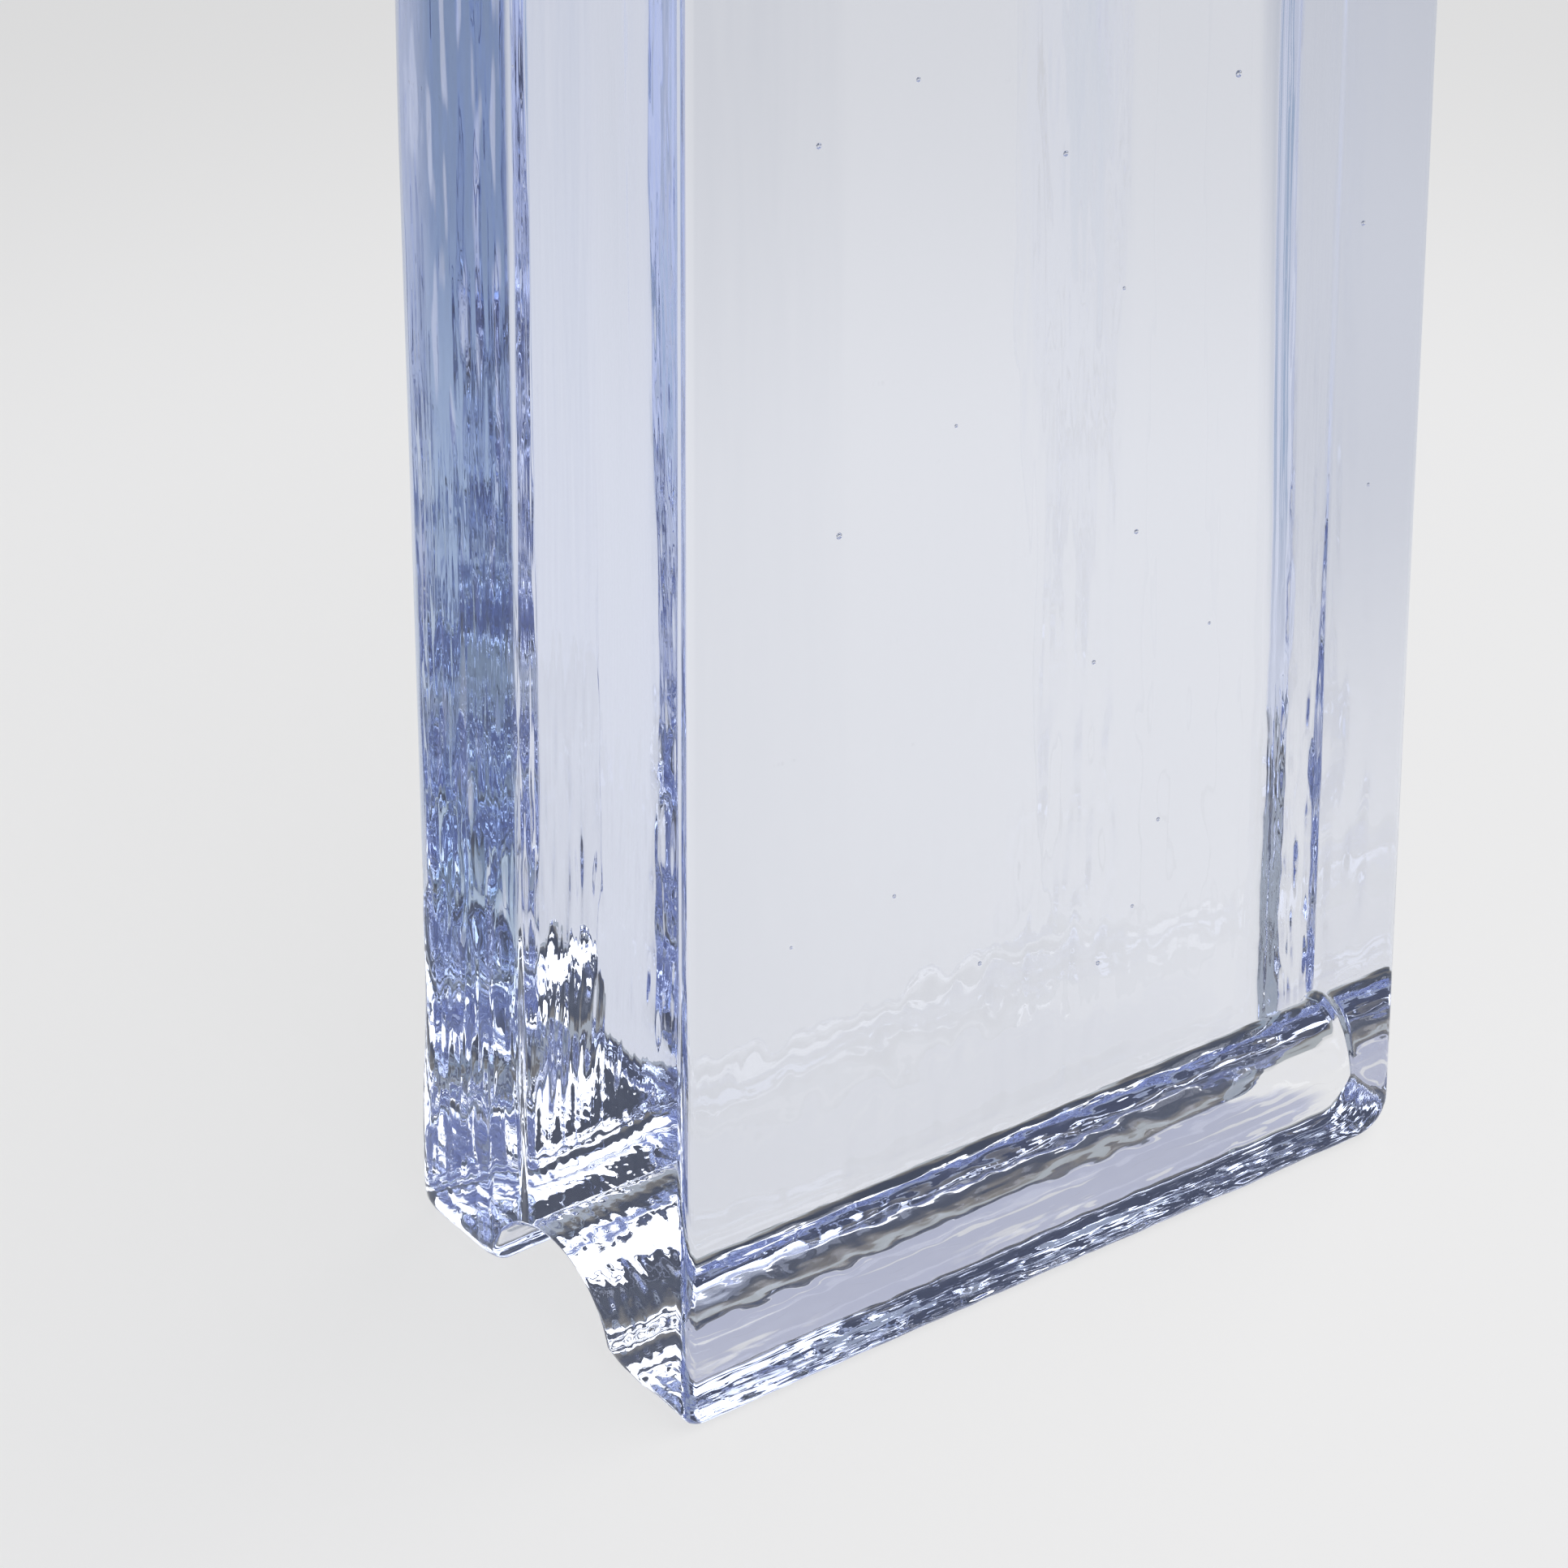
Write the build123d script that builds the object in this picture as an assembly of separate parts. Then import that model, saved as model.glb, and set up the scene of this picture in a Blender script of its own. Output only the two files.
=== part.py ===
from build123d import *
from math import sqrt
import os

# A solid cast glass block, standing on its grooved end, in millimetres.
# X runs along the width, Y through the thickness and Z up the length.
# The origin is at the middle of the footprint, on the plane that the two feet stand on.
# The polished front face looks along -Y. The back, at +Y, was the open top of the mould.

width = 115.0
thickness = 62.5
height = 240.0

# Half-round groove across the foot, from one narrow side to the other.
groove_radius = 13.3
groove_axis_below_foot = 0.8
groove_axis_behind_front = 30.0
groove_mouth_radius = 3.2
groove_rim_radius = 1.6

# Corners of the outline seen from the front: each is tight at the front face
# and opens out towards the rim of the mould, which stood clear above the glass.
mould_freeboard = 3.0
left_front_corner_radius = 3.0
right_front_corner_radius = 5.5
back_corner_radius = 5.5

# Edges round the two wide faces.
back_edge_radius = 4.5
front_edge_radius = 0.8

# The open back sank as the glass cooled. These are depths below its highest part, the
# upper left rim: on the left rim low down, in the middle low down and high up, and on
# the right rim high up.
low_left_sink = 1.0
low_middle_sink = 4.2
high_middle_sink = 4.0
high_right_sink = 1.0

# Where the sinking starts and ends, from the left side and from the foot.
left_rim_width = 11.5
left_slope_run = 40.0
right_rise_from_left = 67.5
right_rise_run = 40.0
low_level = 0.1875 * height
high_level = 0.6875 * height

front_y = -thickness / 2
back_y = thickness / 2
mould_rim_y = back_y + mould_freeboard
groove_y = front_y + groove_axis_behind_front


def corner_arc(y, side, end, radius):
    """One rounded corner of the outline at y, from the narrow side to the end face.
    side is -1 on the left and 1 on the right; end is -1 at the foot and 1 at the top."""
    side_x = side * width / 2
    end_z = height / 2 + end * height / 2
    centre_x = side_x - side * radius
    centre_z = end_z - end * radius
    reach = radius / sqrt(2)
    on_side = (side_x, y, centre_z)
    on_end = (centre_x, y, end_z)
    return ThreePointArc(on_side, (centre_x + side * reach, y, centre_z + end * reach), on_end)


def outline_arcs(y, left_radius, right_radius):
    """The four corners at y: left top, right top, right foot, left foot."""
    return [
        corner_arc(y, -1, 1, left_radius),
        corner_arc(y, 1, 1, right_radius),
        corner_arc(y, 1, -1, right_radius),
        corner_arc(y, -1, -1, left_radius),
    ]


def flat_between(points):
    return Face(Wire(Polyline(*points, close=True).edges()))


def wide_face(arcs, links):
    return Face(Wire([*arcs, *links]))


def mould_form():
    """The space in the mould, filled to its rim: two wide faces, four flat walls and four
    corner patches ruled from the tight front corners to the open ones at the rim, sewn
    into one solid."""
    front = outline_arcs(front_y, left_front_corner_radius, right_front_corner_radius)
    back = outline_arcs(mould_rim_y, back_corner_radius, back_corner_radius)
    # Each arc starts (0) on its narrow side and ends (1) on the end face, so the walls
    # of the top and foot join the ends of two arcs and the side walls join their starts.
    walls = [(0, 1, 1), (1, 2, 0), (2, 3, 1), (3, 0, 0)]
    faces = [Face.make_surface_from_curves(a, b) for a, b in zip(front, back)]
    front_links = []
    back_links = []
    for first, second, where in walls:
        near = (front[first] @ where, front[second] @ where)
        far = (back[first] @ where, back[second] @ where)
        faces.append(flat_between([near[0], near[1], far[1], far[0]]))
        front_links.append(Line(*near))
        back_links.append(Line(*far))
    faces.append(wide_face(front, front_links))
    faces.append(wide_face(back, back_links))
    return Solid(Shell(faces))


def eased(distance, run):
    """0 before a run, 1 past it, and an even S between."""
    share = min(max(distance / run, 0.0), 1.0)
    return share * share * (3 - 2 * share)


def sink(from_left, z):
    """How far the back lies below its highest part."""
    left = min(max((from_left - left_rim_width) / left_slope_run, 0.0), 1.0)
    right = eased(from_left - right_rise_from_left, right_rise_run)
    up = eased(z - low_level, high_level - low_level)
    low = low_left_sink + (low_middle_sink - low_left_sink) * left
    high = high_middle_sink * left + (high_right_sink - high_middle_sink) * right
    return low + (high - low) * up


def sunk_back():
    """The smooth sheet that the back sank to, a little wider and longer than the block."""
    columns = 10
    rows = 12
    beyond = 0.1
    grid = []
    for i in range(columns + 1):
        across = (i / columns * (1 + 2 * beyond) - beyond) * width
        line = []
        for j in range(rows + 1):
            z = (j / rows * (1 + 2 * beyond) - beyond) * height
            line.append(Vector(across - width / 2, back_y - sink(across, z), z))
        grid.append(line)
    return Face.make_surface_from_array_of_points(grid)


def blank():
    """The cooled block before its groove, with its back sunk and its edges rounded."""
    above = extrude(sunk_back(), amount=thickness, dir=(0, 1, 0))
    body = mould_form() - above
    body = fillet(body.faces().sort_by(Axis.Y)[-1].edges(), back_edge_radius)
    return fillet(body.faces().sort_by(Axis.Y)[0].edges(), front_edge_radius)


def groove_cutter():
    """A bar along X whose section is the groove, with its mouth flared onto the foot."""
    round_part = Pos(0, -groove_axis_below_foot) * Circle(groove_radius)
    below_foot = Pos(0, -groove_radius) * Rectangle(4 * groove_radius, 2 * groove_radius)
    section = round_part + below_foot
    mouth = [v for v in section.vertices() if abs(v.Y) < 0.001 and abs(v.X) < 1.5 * groove_radius]
    section = fillet(mouth, groove_mouth_radius)
    side = Plane(origin=(-width, groove_y, 0), x_dir=(0, 1, 0), z_dir=(1, 0, 0))
    return extrude(side * section, 2 * width)


def rim_cutter():
    """Two rings round the groove's axis that round its crown onto the narrow sides."""
    side_x = width / 2
    inner_x = side_x - groove_rim_radius
    outer_radius = groove_radius + groove_rim_radius
    spare = groove_rim_radius
    rounding = Line((inner_x, groove_radius - spare), (inner_x, groove_radius))
    rounding += RadiusArc((inner_x, groove_radius), (side_x, outer_radius), -groove_rim_radius)
    rounding += Polyline(
        (side_x, outer_radius),
        (side_x + spare, outer_radius),
        (side_x + spare, groove_radius - spare),
        (inner_x, groove_radius - spare),
    )
    upright = Plane(origin=(0, groove_y, -groove_axis_below_foot), x_dir=(1, 0, 0), z_dir=(0, -1, 0))
    axis = Axis((0, groove_y, -groove_axis_below_foot), (1, 0, 0))
    ring = revolve(upright * make_face(rounding), axis)
    return ring + mirror(ring, Plane.YZ)


glass_block = blank() - groove_cutter() - rim_cutter()
glass_block.label = "glass_block"

os.makedirs("parts", exist_ok=True)
export_step(glass_block, "parts/glass_block.step")
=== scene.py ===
from math import atan2, cos, pi, radians, sin, sqrt

import bpy
from mathutils import Matrix, Vector, noise


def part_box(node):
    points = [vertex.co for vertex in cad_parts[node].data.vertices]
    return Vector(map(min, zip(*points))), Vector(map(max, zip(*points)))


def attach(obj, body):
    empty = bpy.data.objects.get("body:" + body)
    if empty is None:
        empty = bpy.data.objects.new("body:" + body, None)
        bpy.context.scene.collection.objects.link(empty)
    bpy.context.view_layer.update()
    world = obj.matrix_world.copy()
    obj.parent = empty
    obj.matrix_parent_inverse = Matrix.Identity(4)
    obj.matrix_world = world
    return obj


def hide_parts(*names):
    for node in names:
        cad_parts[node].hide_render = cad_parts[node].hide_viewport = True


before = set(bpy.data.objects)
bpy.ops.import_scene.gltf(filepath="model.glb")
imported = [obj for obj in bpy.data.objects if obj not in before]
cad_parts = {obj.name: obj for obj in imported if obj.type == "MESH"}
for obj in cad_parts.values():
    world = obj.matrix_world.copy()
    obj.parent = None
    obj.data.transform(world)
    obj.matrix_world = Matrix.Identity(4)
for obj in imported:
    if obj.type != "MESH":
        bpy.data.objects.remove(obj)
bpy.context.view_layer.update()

# The block's own sizes, in metres, as in the CAD model.
low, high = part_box("glass_block")
half_width = (high.x - low.x) / 2
front_y = low.y
back_y = high.y
top_z = high.z
groove_y = front_y + 0.030
groove_radius = 0.0133
groove_axis_below_foot = 0.0008
groove_mouth_radius = 0.0032
mould_freeboard = 0.003
left_front_corner_radius = 0.003
right_front_corner_radius = 0.0055
back_corner_radius = 0.0055
back_edge_radius = 0.0045
front_edge_radius = 0.0013

# How far the open back sank below its highest rim, and where: within two millimetres of
# the smooth form in the CAD model, with the finer turns that the cooled glass shows.
low_left_sink = 0.0010
low_middle_sink = 0.0047
low_right_sink = 0.0036
high_middle_sink = 0.0042
high_right_sink = 0.0
left_rim_width = 0.005
left_slope_run = 0.041
right_rise_from_left = 0.0675
right_rise_run = 0.030
low_level = 0.045
high_level = 0.165
waist_settling = 0.0012
waist_foot = 0.010
waist_foot_run = 0.030
waist_fade = 0.075
waist_fade_run = 0.120
right_rim_settling = 0.0020
right_rim_width = 0.022
sinking_starts_behind_groove = 0.0175

# The arch's rim on the narrow sides is softly rounded, as fire-polished glass is.
arch_rim_radius = 0.0016
arch_rim_rise = 0.003

# The marks that the mould left on the cast skin: how deep each kind is, and how large its
# cells are along X, Y and Z, in metres.
upright_depth = 0.00008
upright_depth_added_low = 0.00005
upright_cell = (0.0032, 0.0032, 0.024)
wide_depth = 0.00024
wide_cell = (0.011, 0.011, 0.060)
crinkle_depth = 0.00026
crinkle_cell = (0.0028, 0.0028, 0.008)
lying_depth = 0.00026
lying_cell = (0.020, 0.0034, 0.0034)
knotty_depth = 0.00026
knotty_edge_depth = 0.00020
knotty_cell = (0.0032, 0.0023, 0.0023)

# Where they lie: on faces that look down, on all that is behind the groove's middle, more
# of them low down, and most along the lower right edge.
down_start = 0.15
down_run = 0.35
cast_start_behind_groove = 0.0045
cast_run = 0.002
low_marks_end = 0.085
low_marks_run = 0.045
edge_marks_start = 0.045
edge_marks_run = 0.006
edge_marks_end = 0.110
edge_marks_fade = 0.060

# The finest ripples, which only the material has: upright ones behind the block's middle,
# and lying ones on faces that look down.
fine_depth = 0.00005
fine_upright_cell = (0.0022, 0.0022, 0.022)
fine_upright_start = 0.0035
fine_upright_end = 0.0060
fine_lying_cell = (0.0050, 0.0012, 0.0012)
fine_lying_below = -0.3
fine_shift = (3.1, 2.2, 4.0)

# Painted shade on the back half of the left side: the glass's colour turns smoky blue low down
# and darker blue high up, with paler unshaded streaks in it and half as much on the back edge.
low_painted_shade = (0.34, 0.49, 0.63, 1)
high_painted_shade = (0.13, 0.21, 0.36, 1)
high_painted_shade_start = 0.110
high_painted_shade_end = 0.160
painted_shade_facing_start = -0.5
painted_shade_facing_end = -0.9
painted_shade_foot_start = 0.020
painted_shade_foot_end = 0.060
painted_shade_edge_start = 0.020
painted_shade_edge_end = 0.027
painted_shade_edge_loss = 0.5
unshaded_streak_start = 0.06
unshaded_streak_end = 0.16
unshaded_streak_loss = 0.6

# The glass: its cast deepens with the way that light goes inside it.
glass_index = 1.52
glass_cast = (0.0, 0.25, 0.95, 1)
glass_cast_density = 1.4

# Small bubbles behind the front face, in millimetres: how far right of the middle, how
# deep, how high up, and the radius.
bubbles = [
    (27.2, 4.0, 167.0, 0.50),
    (2.7, 9.0, 162.8, 0.40),
    (-33.3, 12.0, 174.8, 0.42),
    (-33.4, 3.0, 123.4, 0.45),
    (6.1, 2.0, 91.2, 0.32),
    (17.2, 2.0, 63.7, 0.30),
    (-10.7, 3.0, 52.5, 0.32),
    (8.4, 3.0, 45.0, 0.34),
    (14.8, 8.0, 105.6, 0.36),
    (48.5, 5.0, 139.0, 0.36),
    (-17.8, 14.0, 178.3, 0.34),
    (12.7, 10.0, 140.6, 0.26),
    (-20.9, 12.0, 64.2, 0.30),
    (-39.2, 6.0, 65.3, 0.24),
    (16.2, 9.0, 49.1, 0.28),
    (-11.0, 15.0, 128.1, 0.26),
    (25.4, 4.0, 89.4, 0.24),
    (50.3, 3.0, 101.1, 0.26),
]
bubble_turns = 10
bubble_bands = 6

# How many cells of the mesh lie along each stretch of the block's outline and section.
cells_across = 160
cells_up = 96
corner_cells = 8
front_edge_cells = 4
front_foot_cells = 11
mouth_cells = 5
groove_cells = 60
back_foot_cells = 6
back_edge_cells = 12

# How much finer the cells are near the foot, and how high above it the mesh's rings have
# left the shape of the groove behind.
foot_crowding = 0.55
settle_height = 0.045

# The studio's soft light: a panel that hangs level over the block, most of it to one side.
# Its heading is in degrees round the block, where 0 is +X and -90 is -Y.
softbox_heading = -48
softbox_height = 1.6
softbox_ahead = 0.95
softbox_width = 3.2
softbox_depth = 1.55
softbox_radiance = 2.0

# The room's tones by their height over the horizon, from its pale walls to its ceiling,
# and the heading towards which the pale walls reach higher.
room_tones = [
    (0.12, (0.40, 0.43, 0.45, 1)),
    (0.19, (0.19, 0.175, 0.155, 1)),
    (0.42, (0.015, 0.028, 0.065, 1)),
]
pale_wall_heading = -140
pale_wall_start = 0.25
pale_wall_end = 0.60
pale_wall_lift = 0.50

# The pale sweep under and round the block: how much of it shows its own even tone, where
# it turns darker away from the block, and the painted shade where only the glass shows it:
# painted shade with painted pale caustic lines under the block, and thinner painted shade
# off to the left behind.
floor_reach = 4.0
floor_drop = 0.0002
floor_colour = (0.83, 0.81, 0.79, 1)
floor_roughness = 0.9
floor_tone = 0.975
floor_tone_share = 0.7
floor_far_start = 0.20
floor_far_end = 0.36
floor_far_share = 0.86
under_shade = (0.54, 0.57, 0.75, 1)
under_shade_share = 0.95
under_shade_inside = -0.004
under_shade_outside = 0.001
under_caustics_per_metre = (22.0, 420.0, 1.0)
under_caustic_start = 0.60
under_caustic_end = 0.66
under_caustic_share = 0.25
left_shade = (0.75, 0.77, 0.82, 1)
left_shade_start = 0.02
left_shade_end = 0.14
left_of_camera = (-0.801, 0.598, 0.0)

white = (1.0, 1.0, 1.0, 1)


def arc_points(centre, radius, first, last, count):
    """Points (y, z) on an arc, from one angle to another, without the first."""
    turn = (last - first) / count
    angles = [first + turn * (i + 1) for i in range(count)]
    return [(centre[0] + radius * cos(a), centre[1] + radius * sin(a)) for a in angles]


def straight_points(start, end, count):
    """Points (y, z) along a straight run, without the first."""
    steps = [(i + 1) / count for i in range(count)]
    return [(start[0] + (end[0] - start[0]) * s, start[1] + (end[1] - start[1]) * s) for s in steps]


def foot_section():
    """The foot's section (y, z) from the front to the back, between the rounded edges."""
    reach = groove_radius + groove_mouth_radius
    rise = groove_mouth_radius + groove_axis_below_foot
    flare = sqrt(reach**2 - rise**2)
    tilt = atan2(rise, flare)
    near, far = groove_y - flare, groove_y + flare
    run = [(front_y + front_edge_radius, 0.0)]
    run += straight_points(run[-1], (near, 0.0), front_foot_cells)
    run += arc_points((near, groove_mouth_radius), groove_mouth_radius, -pi / 2, -tilt, mouth_cells)
    run += arc_points((groove_y, -groove_axis_below_foot), groove_radius, pi - tilt, tilt, groove_cells)
    run += arc_points((far, groove_mouth_radius), groove_mouth_radius, pi + tilt, pi * 1.5, mouth_cells)
    run += straight_points(run[-1], (back_y - back_edge_radius, 0.0), back_foot_cells)
    return run


def foot_levels():
    """The rings of the mesh from the front face to the back. Each is (y at the foot,
    y far above the groove, height of the foot there, inset of the outline)."""
    run = foot_section()
    first_y = run[0][0]
    step = (run[-1][0] - first_y) / (len(run) - 1)
    levels = [(front_y, front_y, 0.0, front_edge_radius)]
    for i in range(front_edge_cells - 1):
        turn = pi / 2 * (i + 1) / front_edge_cells
        y = front_y + front_edge_radius * (1 - cos(turn))
        levels.append((y, y, 0.0, front_edge_radius * (1 - sin(turn))))
    levels += [(y, first_y + step * i, z, 0.0) for i, (y, z) in enumerate(run)]
    for i in range(back_edge_cells):
        turn = pi / 2 * (i + 1) / back_edge_cells
        y = back_y - back_edge_radius * (1 - sin(turn))
        levels.append((y, y, 0.0, back_edge_radius * (1 - cos(turn))))
    return levels


def smooth(x):
    """0 below 0, 1 above 1, and an even S between."""
    x = min(max(x, 0.0), 1.0)
    return x * x * (3 - 2 * x)


def graded(s, rise):
    """Spreads the cells of an upright run, so that they are finer near the foot."""
    if rise > 0:
        return s * (1 - foot_crowding + foot_crowding * s)
    if rise < 0:
        return 1 - (1 - s) * (1 - foot_crowding + foot_crowding * (1 - s))
    return s


def ring(level):
    """One closed ring round the block, starting in the middle of the left foot corner and
    going along the foot, up the right side, back along the top and down the left side."""
    foot_y, calm_y, foot_z, inset = level
    mould_depth = back_y + mould_freeboard - front_y
    share = (foot_y - front_y) / mould_depth
    calm_share = (calm_y - front_y) / mould_depth
    lifted = smooth(foot_z / arch_rim_rise)

    def corner_radius(front, at):
        return front + (back_corner_radius - front) * at - inset

    left_foot = corner_radius(left_front_corner_radius, share) * (1 - lifted) + arch_rim_radius * lifted
    right_foot = corner_radius(right_front_corner_radius, share) * (1 - lifted) + arch_rim_radius * lifted
    left_top = corner_radius(left_front_corner_radius, calm_share)
    right_top = corner_radius(right_front_corner_radius, calm_share)
    side = half_width - inset
    bottom = foot_z + inset
    top = top_z - inset
    points = []

    def half_corner(x_sign, z_sign, radius, first, y):
        centre_x = x_sign * (side - radius)
        centre_z = (bottom + radius) if z_sign < 0 else (top - radius)
        count = corner_cells // 2
        for i in range(count):
            a = radians(first + 45 / count * i)
            points.append(Vector((centre_x + radius * cos(a), y, centre_z + radius * sin(a))))

    def run(start, end, count, y_at):
        for i in range(count):
            s = graded(i / count, end[1] - start[1])
            x = start[0] + (end[0] - start[0]) * s
            z = start[1] + (end[1] - start[1]) * s
            points.append(Vector((x, y_at(z), z)))

    def on_foot(z):
        return foot_y

    def on_side(z):
        return foot_y + (calm_y - foot_y) * smooth((z - foot_z) / settle_height)

    def on_top(z):
        return calm_y

    half_corner(-1, -1, left_foot, 225, foot_y)
    run((-side + left_foot, bottom), (side - right_foot, bottom), cells_across, on_foot)
    half_corner(1, -1, right_foot, 270, foot_y)
    half_corner(1, -1, right_foot, 315, foot_y)
    run((side, bottom + right_foot), (side, top - right_top), cells_up, on_side)
    half_corner(1, 1, right_top, 0, calm_y)
    half_corner(1, 1, right_top, 45, calm_y)
    run((side - right_top, top), (-side + left_top, top), cells_across, on_top)
    half_corner(-1, 1, left_top, 90, calm_y)
    half_corner(-1, 1, left_top, 135, calm_y)
    run((-side, top - left_top), (-side, bottom + left_foot), cells_up, on_side)
    half_corner(-1, -1, left_foot, 180, foot_y)
    return points


def cap_indices(around):
    """Where each point of a cap's outer rows and columns lies in its ring of points."""
    wide = cells_across + corner_cells
    tall = cells_up + corner_cells
    index = {}
    for i in range(wide + 1):
        index[0, i] = i
        index[tall, i] = 2 * wide + tall - i
    for j in range(tall + 1):
        index[j, wide] = wide + j
        index[j, 0] = (2 * wide + 2 * tall - j) % around
    return index, wide, tall


def add_cap(points, faces, base, around, flip):
    """Closes the ring that starts at base with a grid that blends its four sides."""
    on_ring, wide, tall = cap_indices(around)
    index = {place: base + i for place, i in on_ring.items()}
    edge = {place: points[i] for place, i in index.items()}
    for j in range(1, tall):
        v = j / tall
        for i in range(1, wide):
            u = i / wide
            across = edge[j, 0] * (1 - u) + edge[j, wide] * u
            up = edge[0, i] * (1 - v) + edge[tall, i] * v
            foot_corners = edge[0, 0] * (1 - u) + edge[0, wide] * u
            top_corners = edge[tall, 0] * (1 - u) + edge[tall, wide] * u
            index[j, i] = len(points)
            points.append(across + up - (foot_corners * (1 - v) + top_corners * v))
    for j in range(tall):
        for i in range(wide):
            quad = (index[j, i], index[j, i + 1], index[j + 1, i + 1], index[j + 1, i])
            faces.append(tuple(reversed(quad)) if flip else quad)


def sink(x, z):
    """How far the open back of the cast sank below its highest rim, in metres."""
    from_left = x + half_width
    left = min(max((from_left - left_rim_width) / left_slope_run, 0.0), 1.0)
    right = smooth((from_left - right_rise_from_left) / right_rise_run)
    up = smooth((z - low_level) / (high_level - low_level))
    low_sink = low_left_sink + (low_middle_sink - low_left_sink) * left
    low_sink += (low_right_sink - low_middle_sink) * right
    high_sink = high_middle_sink * left + (high_right_sink - high_middle_sink) * right
    waist = smooth((z - waist_foot) / waist_foot_run) * (1 - smooth((z - waist_fade) / waist_fade_run))
    right_rim = max((from_left - 2 * half_width + right_rim_width) / right_rim_width, 0.0)
    settling = waist_settling * waist * (1 - right)
    settling += right_rim_settling * right_rim * min(right_rim + 0.5, 1.0)
    return low_sink + (high_sink - low_sink) * up + settling


def settled(point):
    """Moves a point of the plain block to where the cooled cast has it."""
    start = groove_y + sinking_starts_behind_groove
    weight = min(max((point.y - start) / (back_y - back_edge_radius - start), 0.0), 1.0)
    return Vector((point.x, point.y - sink(point.x, point.z) * weight, point.z))


def marks(place, cell, x_shift=0.0, y_shift=0.0, z_shift=0.0):
    """Even noise about from 0 to 1, with cells of a size in metres and a shift in cells."""
    where = Vector((place.x / cell[0] + x_shift, place.y / cell[1] + y_shift, place.z / cell[2] + z_shift))
    return 0.5 + 0.5 * noise.noise(where)


def rippled(place, normal):
    """How far the skin lies below its smooth form, in metres."""
    down = smooth((-normal.z - down_start) / down_run)
    cast = smooth((place.y - groove_y - cast_start_behind_groove) / cast_run) * (1 - down)
    low_down = smooth((low_marks_end - place.z) / low_marks_run)
    edge = smooth((place.x - edge_marks_start) / edge_marks_run)
    edge *= smooth((edge_marks_end - place.z) / edge_marks_fade)
    upright = upright_depth + upright_depth_added_low * low_down
    depth = upright * cast * marks(place, upright_cell, z_shift=3.0)
    depth += wide_depth * cast * marks(place, wide_cell, x_shift=7.0)
    depth += crinkle_depth * cast * low_down * marks(place, crinkle_cell, y_shift=9.0)
    depth += lying_depth * down * marks(place, lying_cell, y_shift=5.0)
    knotty = knotty_depth * down + knotty_edge_depth * cast * edge
    return depth + knotty * marks(place, knotty_cell, x_shift=2.0)


def add_bubble(points, faces, centre, radius):
    """A small round bubble as a hollow in the glass, with its skin facing inwards."""
    turns, bands = bubble_turns, bubble_bands
    first = len(points)
    points.append(centre + Vector((0, 0, radius)))
    for i in range(1, bands):
        a = pi * i / bands
        for j in range(turns):
            b = 2 * pi * j / turns
            points.append(centre + Vector((sin(a) * cos(b), sin(a) * sin(b), cos(a))) * radius)
    points.append(centre - Vector((0, 0, radius)))
    last = len(points) - 1
    for j in range(turns):
        k = (j + 1) % turns
        faces.append((first, first + 1 + k, first + 1 + j))
        for i in range(bands - 2):
            a = first + 1 + i * turns
            faces.append((a + j, a + k, a + turns + k, a + turns + j))
        a = first + 1 + (bands - 2) * turns
        faces.append((a + j, a + k, last))


def block_mesh():
    """The block's skin as one closed mesh of squares, and the bubbles inside it."""
    rings = [ring(level) for level in foot_levels()]
    around = len(rings[0])
    points = [p for one in rings for p in one]
    faces = []
    for i in range(len(rings) - 1):
        for j in range(around):
            a = i * around + j
            b = i * around + (j + 1) % around
            faces.append((b, a, a + around, b + around))
    add_cap(points, faces, 0, around, flip=False)
    add_cap(points, faces, (len(rings) - 1) * around, around, flip=True)
    points = [settled(p) for p in points]
    skin_points = len(points)
    for x, depth, z, radius in bubbles:
        add_bubble(points, faces, Vector((x, front_y * 1000 + depth, z)) / 1000, radius / 1000)
    mesh = bpy.data.meshes.new("glass_block_cast")
    mesh.from_pydata([tuple(p) for p in points], [], faces)
    mesh.polygons.foreach_set("use_smooth", [True] * len(mesh.polygons))
    mesh.update()
    skin = mesh.vertices[:skin_points]
    normals = [v.normal.copy() for v in skin]
    for vertex, normal in zip(skin, normals):
        vertex.co -= normal * rippled(vertex.co, normal)
    mesh.update()
    return mesh


def feed(tree, socket, value):
    """Gives a socket a plain value, or links it to another node's output."""
    if isinstance(value, bpy.types.NodeSocket):
        tree.links.new(value, socket)
    else:
        socket.default_value = value


def maths(tree, operation, *values, clamp=False):
    node = tree.nodes.new("ShaderNodeMath")
    node.operation = operation
    node.use_clamp = clamp
    for socket, value in zip(node.inputs, values):
        feed(tree, socket, value)
    return node.outputs[0]


def product(tree, first, *others):
    """Several values multiplied together."""
    for other in others:
        first = maths(tree, "MULTIPLY", first, other)
    return first


def rest_of(tree, share):
    """What a share leaves of 1."""
    return maths(tree, "SUBTRACT", 1.0, share)


def ramp(tree, value, start, end, first=0.0, last=1.0, course="SMOOTHSTEP"):
    """From a first value to a last one while the given value goes from start to end."""
    node = tree.nodes.new("ShaderNodeMapRange")
    node.interpolation_type = course
    tree.links.new(value, node.inputs["Value"])
    node.inputs["From Min"].default_value = start
    node.inputs["From Max"].default_value = end
    node.inputs["To Min"].default_value = first
    node.inputs["To Max"].default_value = last
    return node.outputs["Result"]


def blend(tree, share, first, second, kind="RGBA"):
    """A colour or vector that goes from a first one to a second one as the share goes to 1."""
    node = tree.nodes.new("ShaderNodeMix")
    node.data_type = kind
    tree.links.new(share, node.inputs["Factor"])
    feed(tree, node.inputs["A"], first)
    feed(tree, node.inputs["B"], second)
    return node.outputs["Result"]


def vector_maths(tree, operation, output, vector, *values):
    node = tree.nodes.new("ShaderNodeVectorMath")
    node.operation = operation
    for socket, value in zip(node.inputs, (vector, *values)):
        feed(tree, socket, value)
    return node.outputs[output]


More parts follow.
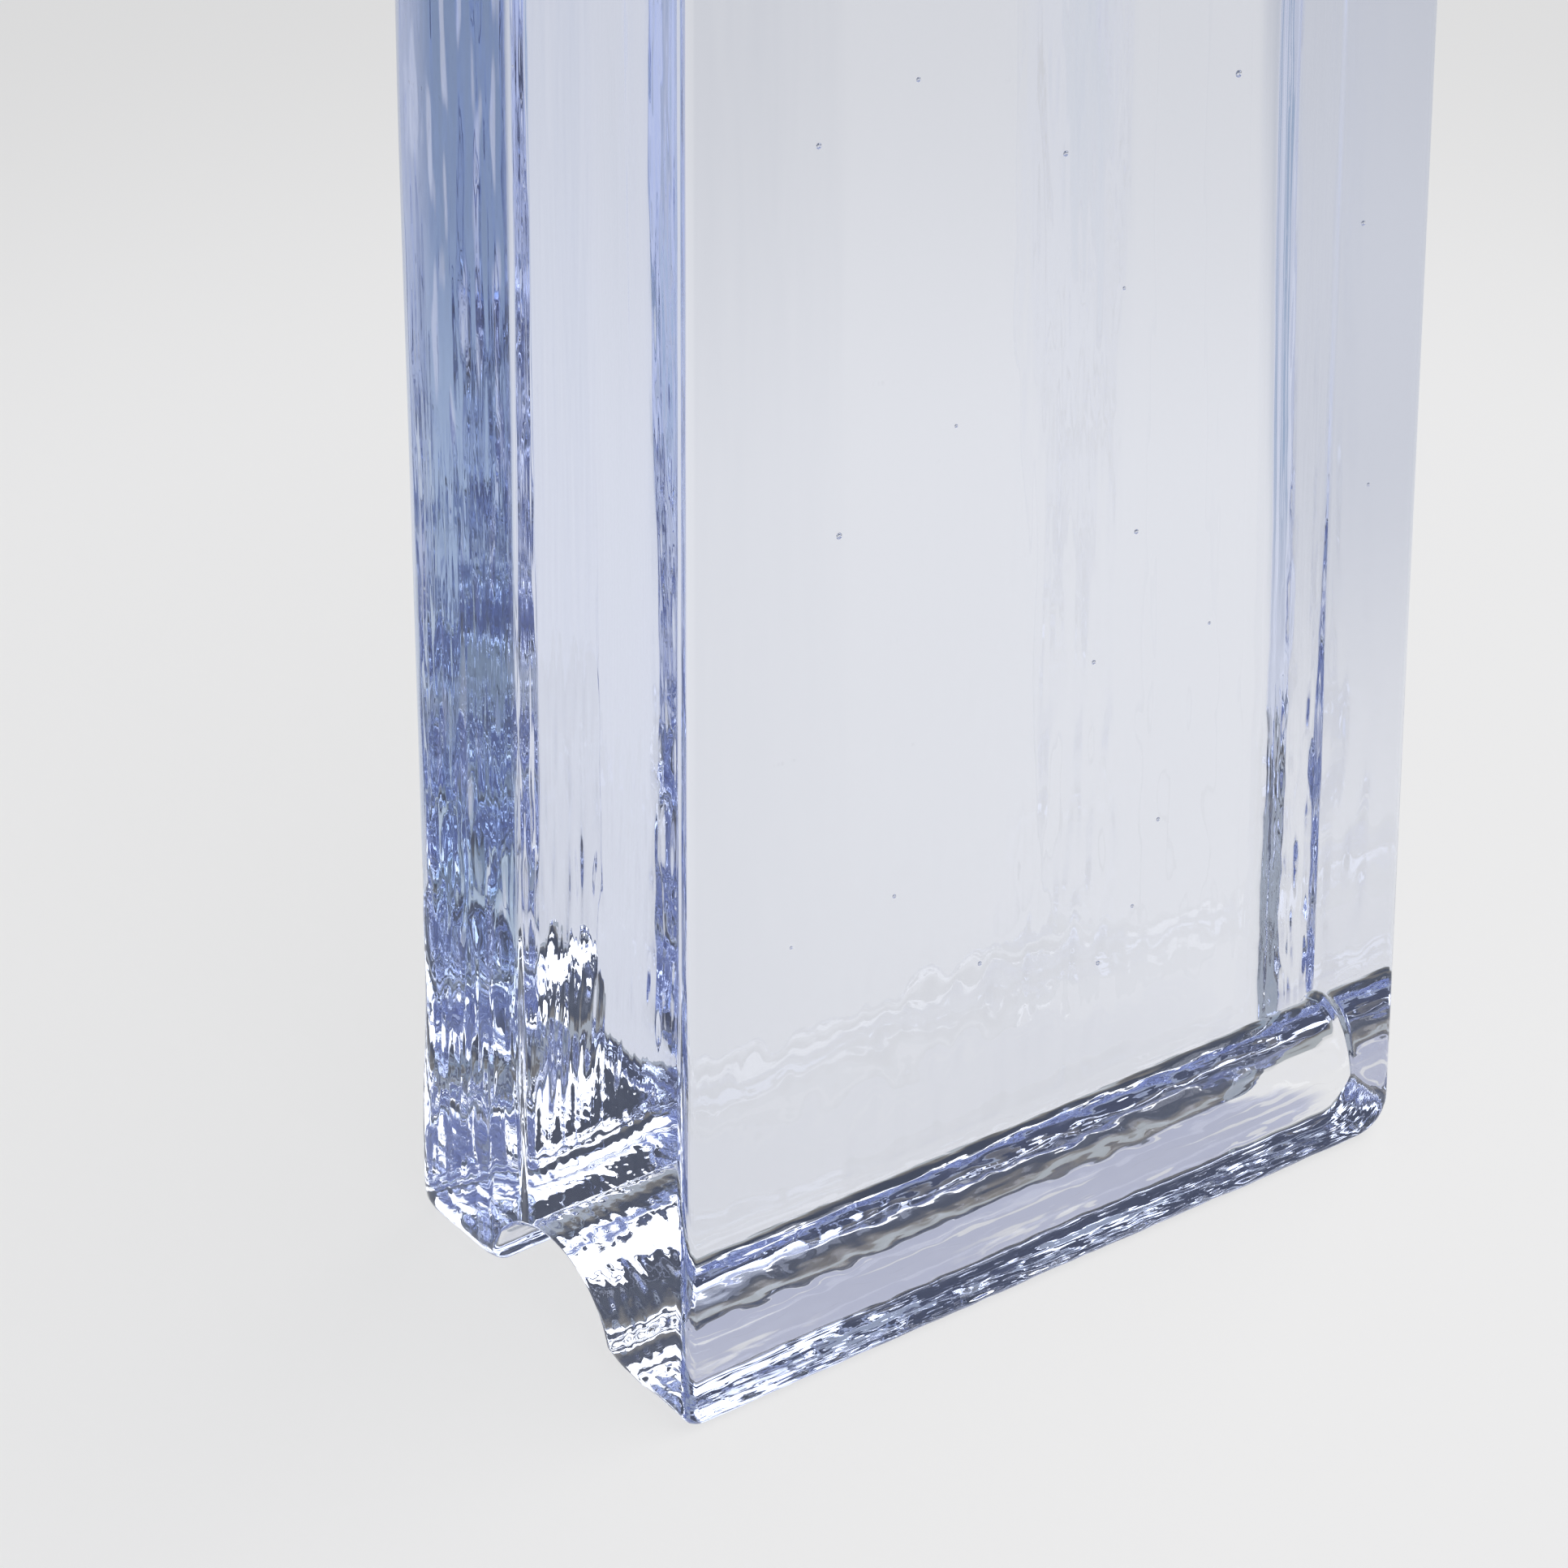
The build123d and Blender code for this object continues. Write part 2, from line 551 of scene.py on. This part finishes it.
def apart(tree, vector):
    """A vector's three values."""
    node = tree.nodes.new("ShaderNodeSeparateXYZ")
    tree.links.new(vector, node.inputs[0])
    return node.outputs


def cloudy(tree, vector, detail):
    """Even noise from 0 to 1 with cells about one unit large."""
    node = tree.nodes.new("ShaderNodeTexNoise")
    node.inputs["Scale"].default_value = 1.0
    node.inputs["Detail"].default_value = detail
    node.inputs["Roughness"].default_value = 0.5
    tree.links.new(vector, node.inputs["Vector"])
    return node.outputs["Fac"]


def ripples_and_painted_shade_group():
    """The marks of the mould on the cast skin: the height of the finest ripples, in
    metres, and a painted shade: the glass's colour where it is darkened on the left side."""
    tree = bpy.data.node_groups.new("cast_ripples_and_painted_shade", "ShaderNodeTree")
    tree.interface.new_socket("Place", in_out="INPUT", socket_type="NodeSocketVector")
    tree.interface.new_socket("Facing", in_out="INPUT", socket_type="NodeSocketVector")
    tree.interface.new_socket("Height", in_out="OUTPUT", socket_type="NodeSocketFloat")
    tree.interface.new_socket("Colour", in_out="OUTPUT", socket_type="NodeSocketColor")
    given = tree.nodes.new("NodeGroupInput")
    result = tree.nodes.new("NodeGroupOutput")

    _, y, z = apart(tree, given.outputs["Place"])
    to_right, _, to_top = apart(tree, given.outputs["Facing"])
    back_half = ramp(tree, y, fine_upright_start, fine_upright_end)
    downward = maths(tree, "LESS_THAN", to_top, fine_lying_below)
    leftward = ramp(tree, to_right, painted_shade_facing_start, painted_shade_facing_end)

    upright_scale = tuple(1 / size for size in fine_upright_cell)
    lying_scale = tuple(1 / size for size in fine_lying_cell)
    scale = blend(tree, downward, upright_scale, lying_scale, kind="VECTOR")
    where = vector_maths(tree, "MULTIPLY_ADD", "Vector", given.outputs["Place"], scale, fine_shift)
    fine = maths(tree, "SUBTRACT", cloudy(tree, where, detail=1.0), 0.5)
    cast = maths(tree, "MAXIMUM", back_half, downward)
    tree.links.new(product(tree, fine, cast, fine_depth), result.inputs["Height"])

    # Painted shade on the back half of the left side, with paler unshaded streaks and less of it on the back
    # edge.
    unshaded_streaks = product(tree, ramp(tree, fine, unshaded_streak_start, unshaded_streak_end), unshaded_streak_loss)
    on_edge = product(tree, ramp(tree, y, painted_shade_edge_start, painted_shade_edge_end), painted_shade_edge_loss)
    above_foot = ramp(tree, z, painted_shade_foot_start, painted_shade_foot_end)
    painted_shade_amount = product(tree, back_half, leftward, above_foot, rest_of(tree, on_edge), rest_of(tree, unshaded_streaks))
    painted_shade_colour = blend(tree, ramp(tree, z, high_painted_shade_start, high_painted_shade_end), low_painted_shade, high_painted_shade)
    tree.links.new(blend(tree, painted_shade_amount, white, painted_shade_colour), result.inputs["Colour"])
    return tree


def clear_glass():
    """Clear glass with the mould's marks, painted shade on the back half of its left side, and a blue-violet
    cast inside it.
    """
    material = bpy.data.materials.new("clear_glass")
    material.use_nodes = True
    tree = material.node_tree
    nodes, links = tree.nodes, tree.links
    shader = nodes["Principled BSDF"]
    shader.inputs["Roughness"].default_value = 0.0
    shader.inputs["IOR"].default_value = glass_index
    shader.inputs["Transmission Weight"].default_value = 1.0
    coordinates = nodes.new("ShaderNodeTexCoord")
    ripples = nodes.new("ShaderNodeGroup")
    ripples.node_tree = ripples_and_painted_shade_group()
    links.new(coordinates.outputs["Object"], ripples.inputs["Place"])
    # A ray that is inside the glass gets the normal turned inwards: this turns it back.
    geometry = nodes.new("ShaderNodeNewGeometry")
    turned = maths(tree, "MULTIPLY_ADD", geometry.outputs["Backfacing"], -2.0, 1.0)
    outward = nodes.new("ShaderNodeVectorMath")
    outward.operation = "SCALE"
    links.new(coordinates.outputs["Normal"], outward.inputs[0])
    links.new(turned, outward.inputs["Scale"])
    links.new(outward.outputs["Vector"], ripples.inputs["Facing"])
    bump = nodes.new("ShaderNodeBump")
    bump.inputs["Strength"].default_value = 1.0
    bump.inputs["Distance"].default_value = 1.0
    links.new(ripples.outputs["Height"], bump.inputs["Height"])
    # The base colour carries the painted shade that darkens the left side's back half.
    links.new(ripples.outputs["Colour"], shader.inputs["Base Color"])
    links.new(bump.outputs["Normal"], shader.inputs["Normal"])
    tint = nodes.new("ShaderNodeVolumeAbsorption")
    tint.inputs["Color"].default_value = glass_cast
    tint.inputs["Density"].default_value = glass_cast_density
    links.new(tint.outputs["Volume"], nodes["Material Output"].inputs["Volume"])
    return material


def pale_floor():
    """An even tone that the camera and the glass see, with painted shade and painted caustic
    lines where only the glass sees it, mixed with a surface that keeps the block's shadow."""
    material = bpy.data.materials.new("pale_floor")
    material.use_nodes = True
    tree = material.node_tree
    nodes, links = tree.nodes, tree.links
    shader = nodes["Principled BSDF"]
    shader.inputs["Base Color"].default_value = floor_colour
    shader.inputs["Roughness"].default_value = floor_roughness
    shader.inputs["Specular IOR Level"].default_value = 0.0
    place = nodes.new("ShaderNodeTexCoord").outputs["Object"]
    path = nodes.new("ShaderNodeLightPath")
    through_glass = rest_of(tree, path.outputs["Is Camera Ray"])

    # Painted shade on the floor off to the left, which only the glass shows.
    leftward = vector_maths(tree, "DOT_PRODUCT", "Value", place, left_of_camera)
    in_left_shade = ramp(tree, leftward, left_shade_start, left_shade_end)
    tone = blend(tree, product(tree, in_left_shade, through_glass), white, left_shade)

    # Painted shade under the block, broken by painted caustics: pale wavy lines of light.
    across, behind, _ = apart(tree, vector_maths(tree, "ABSOLUTE", "Vector", place))
    beside = maths(tree, "SUBTRACT", across, half_width)
    beyond = maths(tree, "SUBTRACT", behind, back_y)
    outside = maths(tree, "MAXIMUM", beside, beyond)
    within = ramp(tree, outside, under_shade_inside, under_shade_outside, under_shade_share, 0.0)
    scaled = vector_maths(tree, "MULTIPLY", "Vector", place, under_caustics_per_metre)
    painted_caustics = cloudy(tree, scaled, detail=0.0)
    dark = ramp(tree, painted_caustics, under_caustic_start, under_caustic_end, 1.0, under_caustic_share)
    under = product(tree, within, dark)
    tone = blend(tree, product(tree, under, through_glass), tone, under_shade)

    glow = nodes.new("ShaderNodeEmission")
    links.new(tone, glow.inputs["Color"])
    away = vector_maths(tree, "LENGTH", "Value", place)
    far_tone = floor_tone * floor_far_share
    links.new(ramp(tree, away, floor_far_start, floor_far_end, floor_tone, far_tone), glow.inputs["Strength"])
    seen = maths(tree, "ADD", path.outputs["Is Camera Ray"], path.outputs["Is Glossy Ray"])
    seen = maths(tree, "ADD", seen, path.outputs["Is Transmission Ray"], clamp=True)
    mix = nodes.new("ShaderNodeMixShader")
    links.new(product(tree, seen, floor_tone_share), mix.inputs["Fac"])
    links.new(shader.outputs[0], mix.inputs[1])
    links.new(glow.outputs[0], mix.inputs[2])
    links.new(mix.outputs[0], nodes["Material Output"].inputs["Surface"])
    return material


def studio_floor():
    """A pale sweep under and round the block, just below its feet."""
    mesh = bpy.data.meshes.new("studio_floor")
    r = floor_reach
    mesh.from_pydata([(-r, -r, 0), (r, -r, 0), (r, r, 0), (-r, r, 0)], [], [(0, 1, 2, 3)])
    mesh.materials.append(pale_floor())
    obj = bpy.data.objects.new("studio_floor", mesh)
    bpy.context.collection.objects.link(obj)
    obj.location.z = -floor_drop


def studio_room():
    """A dim room whose pale walls reach higher at the front left."""
    world = bpy.data.worlds.new("studio")
    world.use_nodes = True
    world.cycles.sampling_method = "NONE"
    tree = world.node_tree
    looking = tree.nodes.new("ShaderNodeTexCoord").outputs["Generated"]
    heading = radians(pale_wall_heading)
    toward = vector_maths(tree, "DOT_PRODUCT", "Value", looking, (cos(heading), sin(heading), 0.0))
    lift = ramp(tree, toward, pale_wall_start, pale_wall_end, 0.0, pale_wall_lift, course="LINEAR")
    height = maths(tree, "SUBTRACT", apart(tree, looking)["Z"], lift)
    shades = tree.nodes.new("ShaderNodeValToRGB")
    tree.links.new(height, shades.inputs["Fac"])
    stops = shades.color_ramp.elements
    for i, (level, tone) in enumerate(room_tones):
        stop = stops[i] if i < len(stops) else stops.new(level)
        stop.position = level
        stop.color = tone
    tree.links.new(shades.outputs["Color"], tree.nodes["Background"].inputs["Color"])
    bpy.context.scene.world = world


def softbox():
    """One large soft light over the block."""
    data = bpy.data.lights.new("softbox", "AREA")
    data.shape = "RECTANGLE"
    data.size = softbox_width
    data.size_y = softbox_depth
    data.energy = softbox_radiance * pi * softbox_width * softbox_depth
    data.color = (1.0, 1.0, 1.0)
    lamp = bpy.data.objects.new("softbox", data)
    bpy.context.collection.objects.link(lamp)
    heading = radians(softbox_heading)
    lamp.location = (softbox_ahead * cos(heading), softbox_ahead * sin(heading), softbox_height)
    lamp.rotation_euler = (0, 0, heading - pi / 2)


def photo_camera():
    """The camera at the photograph's viewing angle: a long lens looking down at the near edge.
    Its place is in widths of the block, from the foot of the front left edge."""
    focal_pixels = 11641.7
    photo_pixels = 1932
    sensor_mm = 36.0
    down = radians(32.6816)
    heading = radians(53.241)
    roll = radians(0.2671)
    place_in_widths = Vector((-4.90724, -6.74212, 6.20076))
    data = bpy.data.cameras.new("photo_camera")
    data.sensor_width = sensor_mm
    data.lens = focal_pixels / photo_pixels * sensor_mm
    data.clip_start = 0.05
    data.clip_end = 50.0
    obj = bpy.data.objects.new("photo_camera", data)
    bpy.context.collection.objects.link(obj)
    obj.location = Vector((low.x, front_y, 0)) + place_in_widths * 2 * half_width
    level = Vector((cos(heading), sin(heading), 0))
    forward = level * cos(down) - Vector((0, 0, 1)) * sin(down)
    right = Vector((sin(heading), -cos(heading), 0))
    up = level * sin(down) + Vector((0, 0, 1)) * cos(down)
    rolled_right = right * cos(roll) + up * sin(roll)
    rolled_up = -right * sin(roll) + up * cos(roll)
    turn = Matrix((rolled_right, rolled_up, -forward)).transposed()
    obj.rotation_mode = "QUATERNION"
    obj.rotation_quaternion = turn.to_quaternion()
    bpy.context.scene.camera = obj


block = bpy.data.objects.new("glass_block_cast", block_mesh())
bpy.context.collection.objects.link(block)
block.data.materials.append(clear_glass())
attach(block, "root")
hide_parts("glass_block")

studio_floor()
studio_room()
softbox()
photo_camera()

scene = bpy.context.scene
scene.view_settings.view_transform = "Standard"

# Light turns many times inside the glass before it leaves. Round it, one turn is enough.
scene.cycles.max_bounces = 22
scene.cycles.glossy_bounces = 18
scene.cycles.transmission_bounces = 12
scene.cycles.diffuse_bounces = 1
scene.cycles.use_light_tree = False
